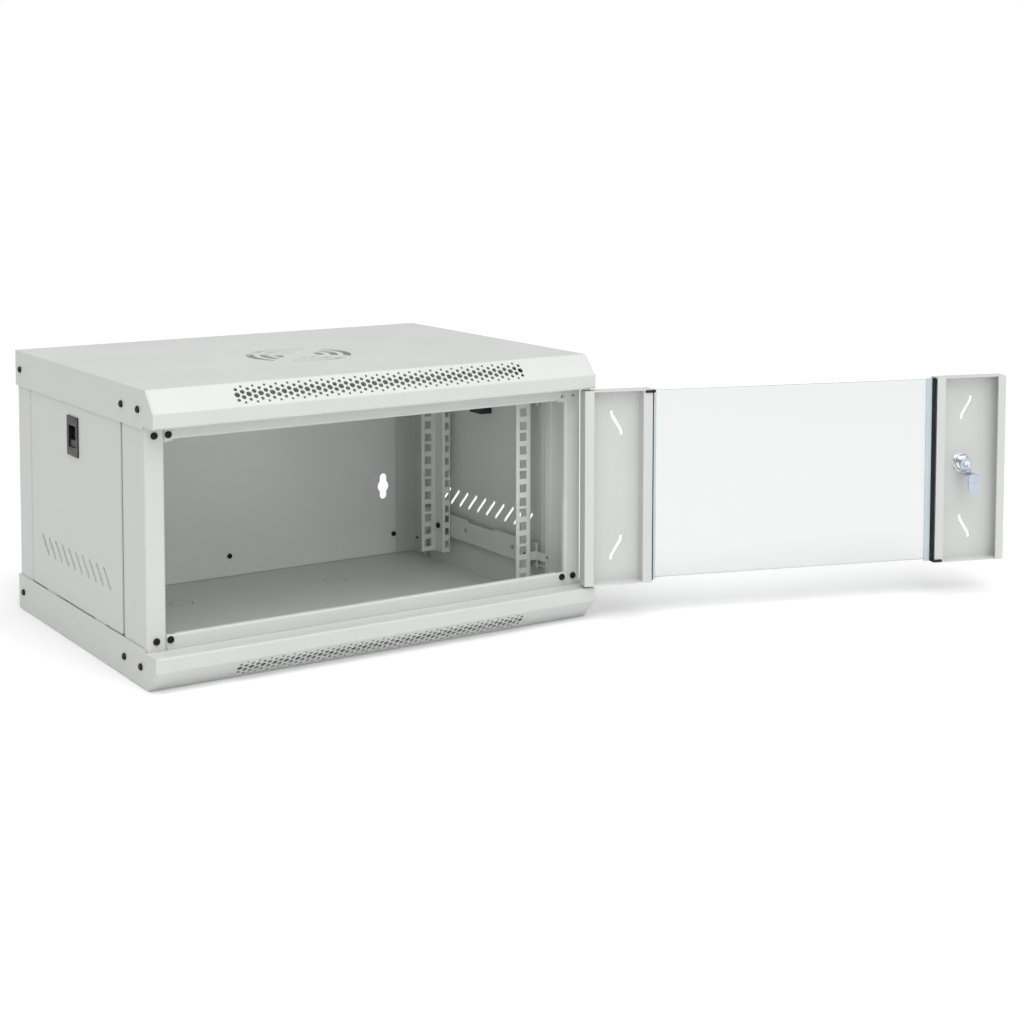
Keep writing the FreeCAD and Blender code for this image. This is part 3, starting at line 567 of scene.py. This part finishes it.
class CABINET_OT_finishes(bpy.types.Operator):
    """Makes every finish and puts it on the steel parts"""
    bl_idname = "cabinet.finishes"
    bl_label = "Finishes"

    def execute(self, context):
        f = finish()
        MATERIALS["paint"] = powder_coat("Powder-coated folded steel", f.paint, 0.48)
        MATERIALS["rail"] = powder_coat("Powder-coated rail steel", f.rail_paint, 0.46)
        # A lighter copy of the powder coat for the back panel: painted light against the shade of the bay.
        MATERIALS["inner"] = powder_coat("Powder coat lightened as painted light", f.back_paint_lit_for_shade, 0.34)
        MATERIALS["screw"] = black_oxide("Black-oxide screw steel", f.screw, 0.38, "26221F")
        MATERIALS["plastic"] = moulded_abs("Moulded black ABS", f.plastic, 0.42)
        MATERIALS["rubber"] = extruded_rubber("Extruded black EPDM rubber", f.rubber)
        MATERIALS["chrome"] = plated("Chrome-plated zinc casting", "E4E6EA", 0.10, "D4D8DE", 6.0, 0.4)
        MATERIALS["zinc"] = plated("Blue-passivated zinc plate", "C4CAD4", 0.24, "B4BED0", 3.0, 0.5)
        MATERIALS["pin"] = plated("Turned bright steel", "B8BABC", 0.26, "A8AAAE", 5.0, 0.3)
        MATERIALS["glass"] = float_glass("Clear toughened glass", f.glass)
        MATERIALS["edge"] = ground_glass("Ground glass edge", f.glass_edge)
        MATERIALS["strip"] = ground_glass("Extruded clear glazing strip", f.strip)
        MATERIALS["floor"] = studio_floor("Seamless studio paper", f.floor)
        for part in frame["record"]["subparts"]:
            mesh = NODES[part["node"]].data
            mesh.materials.clear()
            # The back panel gets the lighter copy of the coat, which paints light into the shaded bay.
            finish_name = "inner" if part["node"] == "back_panel" else SLOT_FINISH[part["material_slot"]]
            mesh.materials.append(MATERIALS[finish_name])
        return {"FINISHED"}


HEAD_HEIGHT = 2.2 * MM
# A head wider than the small one sits on the larger shank.
SMALL_HEAD = 2.5 * MM
SMALL_SHANK = 1.2 * MM
LARGE_SHANK = 1.6 * MM
# Each screw stops where it is tight, so no two recesses line up. In degrees.
SCREW_TURN = 37


def screw_head(name, radius, height):
    """A pan head with a cross recess: a drum whose top is drawn in, rounded and dished."""
    obj = cylinder_at(name, radius, height, 40)
    pick(obj, "FACE", lambda f: f.normal.z > 0.9)
    bpy.ops.transform.resize(value=(0.8, 0.8, 1.0), center_override=(0, 0, height))
    bpy.ops.mesh.inset(thickness=radius * 0.28)
    bpy.ops.transform.translate(value=(0, 0, height * 0.14))
    leave_edit()
    apply_bevel(obj, sizes().screw_edge, 3, 25)
    arms = []
    for turn in (0, 1):
        arm = new_primitive("primitive_cube_add", name + "_arm", size=1.0,
                            location=(0, 0, height * 1.05), scale=(radius * 1.05, radius * 0.2, height * 0.9))
        pick(arm, "FACE", lambda g: g.normal.z < -0.9)
        bpy.ops.transform.resize(value=(0.45, 0.7, 1.0), center_override=(0, 0, 0))
        leave_edit()
        arm.data.transform(Matrix.Rotation(turn * math.pi / 2 + math.radians(20), 4, "Z"))
        arms.append(arm)
    for arm in arms:
        cut_with(obj, arm)
    return obj


def pan_screw(name, radius, length):
    """A pan-head screw with its seat at z = 0: the head above it, and a shank with a drawn-in tip below."""
    head = screw_head(name + "_head", radius, HEAD_HEIGHT)
    shank_radius = LARGE_SHANK if radius > SMALL_HEAD else SMALL_SHANK
    depth = length - HEAD_HEIGHT
    shank = cylinder_at(name + "_shank", shank_radius, depth, 24)
    shank.data.transform(Matrix.Translation((0, 0, -depth)))
    pick(shank, "FACE", lambda f: f.normal.z < -0.9)
    bpy.ops.transform.resize(value=(0.7, 0.7, 1.0), center_override=(0, 0, -depth))
    leave_edit()
    screw = join([head, shank], name + "_template")
    smooth(screw, 40)
    return screw


def screw_set(name, node_name, outward_of):
    """One detailed screw on each CAD screw of a group, each turned a little further than the last."""
    made = []
    template = None
    for index, (centre, low, high) in enumerate(islands(node_name)):
        outward = Vector(outward_of(centre))
        axis = max(range(3), key=lambda i: abs(outward[i]))
        across = [high[i] - low[i] for i in range(3) if i != axis]
        radius = max(across) / 2
        length = high[axis] - low[axis]
        if template is None:
            template = pan_screw(name, radius, length)
        twin = copy_of(template, f"{name}_{index}")
        twin.data.transform(Matrix.Rotation(math.radians(SCREW_TURN * index), 4, "Z"))
        face = low[axis] if outward[axis] < 0 else high[axis]
        at = Vector(centre)
        at[axis] = face - math.copysign(HEAD_HEIGHT, outward[axis])
        stand(twin, at, outward)
        made.append(twin)
    bpy.data.objects.remove(template)
    return finish_piece(join(made, name), "cabinet", MATERIALS["screw"], [node_name])


class CABINET_OT_screws(bpy.types.Operator):
    """Cross-recess pan-head screws on the covers, frame, rails and back panel"""
    bl_idname = "cabinet.screws"
    bl_label = "Screws"

    def execute(self, context):
        screw_set("cover_pan_screws", "cover_screws", lambda at: (math.copysign(1, at.x), 0, 0))
        screw_set("frame_pan_screws", "front_frame_screws", lambda at: (0, -1, 0))
        screw_set("back_pan_screws", "back_panel_screws", lambda at: (0, -1, 0))
        screw_set("rail_pan_screws", "rail_screws", lambda at: (-math.copysign(1, at.x), 0, 0))
        screw_set("bracket_pan_screws", "bracket_screws", lambda at: (0, -math.copysign(1, at.y), 0))
        return {"FINISHED"}


def eased_copy(node_name, width, body, material, segments=2):
    """The CAD part with its cut or moulded edges eased."""
    twin = copy_of(NODES[node_name], node_name + "_eased")
    # The copy is a piece of its own, so it drops what marks the CAD node.
    for key in list(twin.keys()):
        del twin[key]
    twin.parent = None
    start_clean()
    pick(twin, "VERT", lambda v: True)
    bpy.ops.mesh.remove_doubles(threshold=0.01 * MM)
    bpy.ops.mesh.dissolve_limited(angle_limit=math.radians(0.5))
    leave_edit()
    smooth(twin, 38)
    apply_bevel(twin, width, segments, 50)
    return finish_piece(twin, body, material, [node_name])


class CABINET_OT_stiles(bpy.types.Operator):
    """Door stiles and front rails with the soft edges that the coat gives"""
    bl_idname = "cabinet.stiles"
    bl_label = "Door stiles and front rails"

    def execute(self, context):
        width = sizes().sheet_round
        for name in ("front_top_rail", "front_bottom_rail"):
            eased_copy(name, width, "cabinet", MATERIALS["paint"])
        for name in ("door_hinge_stile", "door_lock_stile"):
            eased_copy(name, width, "door", MATERIALS["paint"])
        return {"FINISHED"}


def on_door(obj):
    """Takes a piece modelled on the closed door to its open place."""
    obj.data.transform(DOOR)
    obj.data.update()
    return obj


def rounded_bar(name, low, high, radius, segments=3):
    """A bar with all its edges rounded."""
    obj = block_between(name, low, high)
    smooth(obj, 30)
    apply_bevel(obj, radius, segments, 60)
    return obj


# The turned end of a seal lies this far in from the stile's tallest edge, and just clear of the stile.
FLANGE_SET_BACK = 2 * MM
FOOT_GAP = 0.05 * MM


class CABINET_OT_glazing(bpy.types.Operator):
    """Door glass with seamed edges, its two seals and the clear strips beside them"""
    bl_idname = "cabinet.glazing"
    bl_label = "Glass and seals"

    def execute(self, context):
        self.pane()
        self.seals()
        return {"FINISHED"}

    def pane(self):
        low, high = door_corners("door_glass")
        glass = rounded_bar("toughened_glass_pane", low, high, sizes().glass_chamfer, 2)
        seamed = [abs(f.normal.y) < 0.98 for f in glass.data.polygons]
        finish_piece(on_door(glass), "door", MATERIALS["glass"], ["door_glass"])
        glass.data.materials.append(MATERIALS["edge"])
        for face, is_edge in zip(glass.data.polygons, seamed):
            face.material_index = 1 if is_edge else 0

    def seals(self):
        """The hinge side seal turns in at its top end, and the lock side seal at its bottom end."""
        z = sizes()
        self.seal("hinge_side_seal", "door_hinge_stile", z.hinge_strip, True)
        self.seal("lock_side_seal", "door_lock_stile", z.lock_strip, False)

    def seal(self, name, stile, strip, at_top):
        """A seal with its turned end, and the clear strip that runs beside it on the glass."""
        z = sizes()
        low, high = door_corners(name)
        stile_face = door_corners(stile)[1].y - FLANGE_SET_BACK
        foot_top = stile_face + z.seal_foot / 2
        foot_low, foot_high = (high.z - z.seal_foot, high.z) if at_top else (low.z, low.z + z.seal_foot)
        glass_side = low.x if at_top else high.x
        reach = z.seal_turn if at_top else -z.seal_turn
        foot_left, foot_right = sorted((glass_side, glass_side + reach))
        bar = rounded_bar(name + "_bar", low, high, z.seal_round)
        riser = rounded_bar(name + "_riser", (low.x, low.y, foot_low), (high.x, foot_top, foot_high),
                            z.seal_round * 0.8)
        foot = rounded_bar(name + "_foot", (foot_left, stile_face + FOOT_GAP, foot_low),
                           (foot_right, foot_top, foot_high), z.seal_round * 0.6)
        seal = join([bar, riser, foot], name + "_rubber")
        finish_piece(on_door(seal), "door", MATERIALS["rubber"], [name])
        strip_left, strip_right = sorted((glass_side, glass_side + (-strip if at_top else strip)))
        clear = rounded_bar(name.replace("seal", "glazing_strip"), (strip_left, low.y, low.z),
                            (strip_right, low.y + z.strip_thick, high.z), z.strip_thick * 0.3, 2)
        finish_piece(on_door(clear), "door", MATERIALS["strip"])


PLUG_CLEARANCE = 0.08 * MM
BARREL_CHAMFER = 0.5 * MM
FLAT_DEPTH = 0.7 * MM
THREAD_RUN_OUT = 0.6 * MM


class CABINET_OT_lock(bpy.types.Operator):
    """Cam lock: rosette and threaded barrel, nut, plug, cranked cam and its bolt"""
    bl_idname = "cabinet.lock"
    bl_label = "Cam lock"

    def execute(self, context):
        self.barrel()
        eased_copy("lock_nut", 0.35 * MM, "door", MATERIALS["chrome"])
        eased_copy("lock_plug", 0.3 * MM, "lock", MATERIALS["chrome"])
        eased_copy("lock_cam", 0.5 * MM, "lock", MATERIALS["zinc"], 3)
        self.cam_bolt()
        return {"FINISHED"}

    def barrel(self):
        """Domed rosette and threaded barrel with two flats, bored for the plug."""
        low, high = door_corners("lock_body")
        axis = (low + high) / 2
        plug_low, plug_high = door_corners("lock_plug")
        bore_radius = (plug_high.x - plug_low.x) / 2 + PLUG_CLEARANCE
        rim = (high.x - low.x) / 2
        barrel = rim - sizes().rosette_margin
        length = high.y - low.y
        flange = sizes().rosette_thick
        dome = [(rim - 1.6 * MM, 0), (rim - 0.5 * MM, 0.35 * MM), (rim, 1.2 * MM), (rim, flange)]
        end = [(barrel, length - BARREL_CHAMFER), (barrel - BARREL_CHAMFER, length)]
        body = turned("cam_lock_body", dome + self.thread(barrel, flange, length) + end, 56)
        # Two flats along the barrel stop it turning in the door.
        for way in (-1, 1):
            flat = block_between("flat", (way * (barrel - FLAT_DEPTH), -2 * rim, flange + 0.01 * MM),
                                 (way * 2 * rim, 2 * rim, 2 * length))
            cut_with(body, flat)
        bore = cylinder_at("bore", bore_radius, 4 * length, 48)
        bore.data.transform(Matrix.Translation((0, 0, -length)))
        cut_with(body, bore)
        smooth(body, 30)
        stand(body, (axis.x, low.y, axis.z), (0, 1, 0))
        finish_piece(on_door(body), "door", MATERIALS["chrome"], ["lock_body"])

    def thread(self, barrel, flange, length):
        """Stations of the thread, from the rosette to just short of the barrel's end."""
        pitch = sizes().thread_pitch
        stations = [(barrel, flange)]
        for i in range(int((length - flange - pitch) / pitch)):
            root = flange + SHEET + i * pitch
            stations += [(barrel - 0.45 * pitch, root + 0.5 * pitch), (barrel, root + pitch)]
        return [s for s in stations if s[1] < length - THREAD_RUN_OUT]

    def cam_bolt(self):
        """A hexagon bolt with a dished head, on a flat washer."""
        low, high = door_corners("lock_cam_screw")
        seat = door_corners("lock_plug")[1].y
        head = high.y - seat
        radius = (high.x - low.x) / 2
        wide = radius * 1.25
        washer = turned("washer", [(radius, 0), (wide, 0.1 * MM), (wide, 0.7 * MM), (radius, 0.8 * MM)], 40)
        hexagon = cylinder_at("hexagon", radius, head, 6)
        pick(hexagon, "FACE", lambda f: f.normal.z > 0.9)
        bpy.ops.mesh.inset(thickness=radius * 0.35)
        bpy.ops.transform.translate(value=(0, 0, -head * 0.18))
        leave_edit()
        apply_bevel(hexagon, 0.3 * MM, 2, 30)
        bolt = join([washer, hexagon], "cam_bolt")
        smooth(bolt, 35)
        stand(bolt, ((low.x + high.x) / 2, seat, (low.z + high.z) / 2), (0, 1, 0))
        finish_piece(on_door(bolt), "lock", MATERIALS["chrome"], ["lock_cam_screw"])


# A thumb rib stands proud of the slider's pad, with its root sunk in the pad.
RIB_PROUD = 0.35 * MM
RIB_SUNK = 0.4 * MM
RIB_WIDTH = 0.9 * MM
RIB_STEP = 1.2 * MM


class CABINET_OT_latches(bpy.types.Operator):
    """Moulded latch housings and sliders of the side panels, with a ribbed thumb pad"""
    bl_idname = "cabinet.latches"
    bl_label = "Side latches"

    def execute(self, context):
        plastic = MATERIALS["plastic"]
        for side, way in (("left", -1), ("right", 1)):
            eased_copy(side + "_latch_housing", 0.5 * MM, side + "_panel", plastic, 3)
            eased_copy(side + "_latch_slider", 0.3 * MM, side + "_latch", plastic)
            self.thumb_ribs(side, way)
        return {"FINISHED"}

    def thumb_ribs(self, side, way):
        """Three ribs across the slider's thumb pad, each shorter than the one below it."""
        z = sizes()
        low, high = corners(side + "_latch_slider")
        pad_face = low.x if way < 0 else high.x
        middle = (low.y + high.y) / 2
        bottom = corners(side + "_latch_housing")[0].z + z.pad_rise
        inner, outer = sorted((pad_face - way * RIB_SUNK, pad_face + way * RIB_PROUD))
        ribs = []
        for i in range(3):
            rib_low = bottom + i * z.rib_pitch
            half = z.rib_length / 2 - i * RIB_STEP
            ribs.append(rounded_bar("rib", (inner, middle - half, rib_low),
                                    (outer, middle + half, rib_low + RIB_WIDTH), 0.25 * MM, 2))
        grip = join(ribs, side + "_thumb_ribs")
        finish_piece(grip, side + "_latch", MATERIALS["plastic"])


# A pin stands this deep in the door, and its collar rests in the gap between door and cover.
PIN_ENGAGE = 8 * MM
PIN_CHAMFER = 0.6 * MM
COLLAR_RIM = 1.5 * MM
COLLAR_HIGH = 2 * MM
COLLAR_CHAMFER = 0.3 * MM
LEAST_GAP = 0.2 * MM


class CABINET_OT_pins(bpy.types.Operator):
    """Turned hinge pins with a collar and chamfered ends"""
    bl_idname = "cabinet.pins"
    bl_label = "Hinge pins"

    def execute(self, context):
        for name, up in (("upper_hinge_pin", 1), ("lower_hinge_pin", -1)):
            low, high = corners(name)
            length = high.z - low.z
            collar = (high.x - low.x) / 2
            pin = collar - COLLAR_RIM
            seat = PIN_ENGAGE + self.gap()
            top = seat + COLLAR_HIGH
            stations = [(pin - PIN_CHAMFER, 0), (pin, PIN_CHAMFER), (pin, seat),
                        (collar - COLLAR_CHAMFER, seat), (collar, seat + COLLAR_CHAMFER),
                        (collar, top - COLLAR_CHAMFER), (collar - COLLAR_CHAMFER, top),
                        (pin, top), (pin, length - PIN_CHAMFER), (pin - PIN_CHAMFER, length)]
            obj = turned(name + "_turned", stations, 32)
            smooth(obj, 30)
            stand(obj, (HINGE.x, HINGE.y, low.z if up > 0 else high.z), (0, 0, up))
            finish_piece(obj, "cabinet", MATERIALS["pin"], [name])
        return {"FINISHED"}

    def gap(self):
        """Clear height between the door's end and the collar."""
        cover_low = corners("top_cover")[0].z
        door_top = corners("door_hinge_stile")[1].z
        return max(LEAST_GAP, cover_low - COLLAR_HIGH - door_top)


class CABINET_OT_stage(bpy.types.Operator):
    """Pale floor, soft studio lights and the camera"""
    bl_idname = "cabinet.stage"
    bl_label = "Stage"

    def execute(self, context):
        self.floor()
        self.backdrop(context.scene)
        sun = bpy.data.lights.new("overhead", "SUN")
        sun.energy = 2.5
        sun.angle = math.radians(70)
        self.hang(context.scene, sun, Vector((0.03, 0.14, -0.5)))
        centre = Vector((0.1, 0, 0.15))
        self.soft_box(context.scene, "front", Vector((-0.4, -2.3, 1.5)), centre, (1.6, 1.6), 16)
        # A weak light just behind the front frame, for what a large studio would send into the bay.
        bay_mouth = Vector((0, CAD_HIGH.y - 0.37, 0.17))
        bay = Vector((0, 0.1, 0.12))
        self.soft_box(context.scene, "bay", bay_mouth, bay, (0.44, 0.15), 0.16)
        self.camera(context.scene)
        context.scene.view_settings.view_transform = "Standard"
        return {"FINISHED"}

    def floor(self):
        floor = new_primitive("primitive_plane_add", "studio_floor", size=60.0,
                              location=(0, 0, CAD_LOW.z - 0.05 * MM))
        floor.data.materials.append(MATERIALS["floor"])

    def backdrop(self, scene):
        """A white backdrop that is seen in full, and lights the object less than it shows."""
        world = scene.world or bpy.data.worlds.new("Studio")
        scene.world = world
        world.use_nodes = True
        tree = world.node_tree
        white = next(n for n in tree.nodes if n.type == "BACKGROUND")
        white.inputs["Color"].default_value = grey(1.0)
        path = node(tree, "ShaderNodeLightPath")
        seen = node(tree, "ShaderNodeMath", {"operation": "MAXIMUM"}, None,
                    {0: path.outputs["Is Camera Ray"], 1: path.outputs["Is Transmission Ray"]})
        strength = node(tree, "ShaderNodeMapRange", None, {"To Min": 0.4, "To Max": 1.0},
                        {"Value": seen.outputs["Value"]})
        tree.links.new(strength.outputs["Result"], white.inputs["Strength"])

    def hang(self, scene, light, direction):
        """Puts a light in the scene, shining in a direction."""
        lamp = bpy.data.objects.new(light.name, light)
        scene.collection.objects.link(lamp)
        lamp.rotation_mode = "QUATERNION"
        lamp.rotation_quaternion = direction.to_track_quat("-Z", "Y")
        return lamp

    def soft_box(self, scene, name, place, aim, size, power):
        """A rectangular soft light that the camera doesn't see."""
        light = bpy.data.lights.new(name, "AREA")
        light.shape = "RECTANGLE"
        light.size, light.size_y = size
        light.energy = power
        lamp = self.hang(scene, light, aim - place)
        lamp.location = place
        lamp.visible_camera = False

    def camera(self, scene):
        """A long lens from the front left, a little above the cabinet."""
        lens = bpy.data.cameras.new("camera")
        lens.sensor_width = 36.0
        lens.lens = 65.56
        lens.shift_x = 0.041
        lens.shift_y = -0.25
        lens.clip_start = 0.01
        camera = bpy.data.objects.new("camera", lens)
        scene.collection.objects.link(camera)
        camera.location = (-0.9648, -1.8724, 0.5634)
        camera.rotation_euler = (math.radians(90 - 4.19), 0, math.radians(-32.45))
        scene.camera = camera


class CABINET_PT_panel(bpy.types.Panel):
    """Cabinet finishes and fittings"""
    bl_idname = "CABINET_PT_panel"
    bl_label = "Network wall cabinet"
    bl_space_type = "VIEW_3D"
    bl_region_type = "UI"
    bl_category = "Cabinet"

    def draw(self, context):
        column = self.layout.column()
        for group in (context.scene.cabinet_finish, context.scene.cabinet_sizes):
            for name in group.__annotations__:
                column.prop(group, name)
        for operator in OPERATORS:
            column.operator(operator.bl_idname)


OPERATORS = (CABINET_OT_finishes, CABINET_OT_stage, CABINET_OT_screws, CABINET_OT_stiles, CABINET_OT_glazing,
             CABINET_OT_lock, CABINET_OT_latches, CABINET_OT_pins)
CLASSES = (CabinetFinish, CabinetSizes) + OPERATORS + (CABINET_PT_panel,)


def register():
    for cls in CLASSES:
        bpy.utils.register_class(cls)
    bpy.types.Scene.cabinet_finish = bpy.props.PointerProperty(type=CabinetFinish)
    bpy.types.Scene.cabinet_sizes = bpy.props.PointerProperty(type=CabinetSizes)


def unregister():
    del bpy.types.Scene.cabinet_sizes
    del bpy.types.Scene.cabinet_finish
    for cls in reversed(CLASSES):
        bpy.utils.unregister_class(cls)


def main():
    register()
    bpy.ops.cabinet.finishes()
    bpy.ops.cabinet.stage()
    bpy.ops.cabinet.screws()
    bpy.ops.cabinet.stiles()
    bpy.ops.cabinet.glazing()
    bpy.ops.cabinet.lock()
    bpy.ops.cabinet.latches()
    bpy.ops.cabinet.pins()


if __name__ == "__main__":
    main()
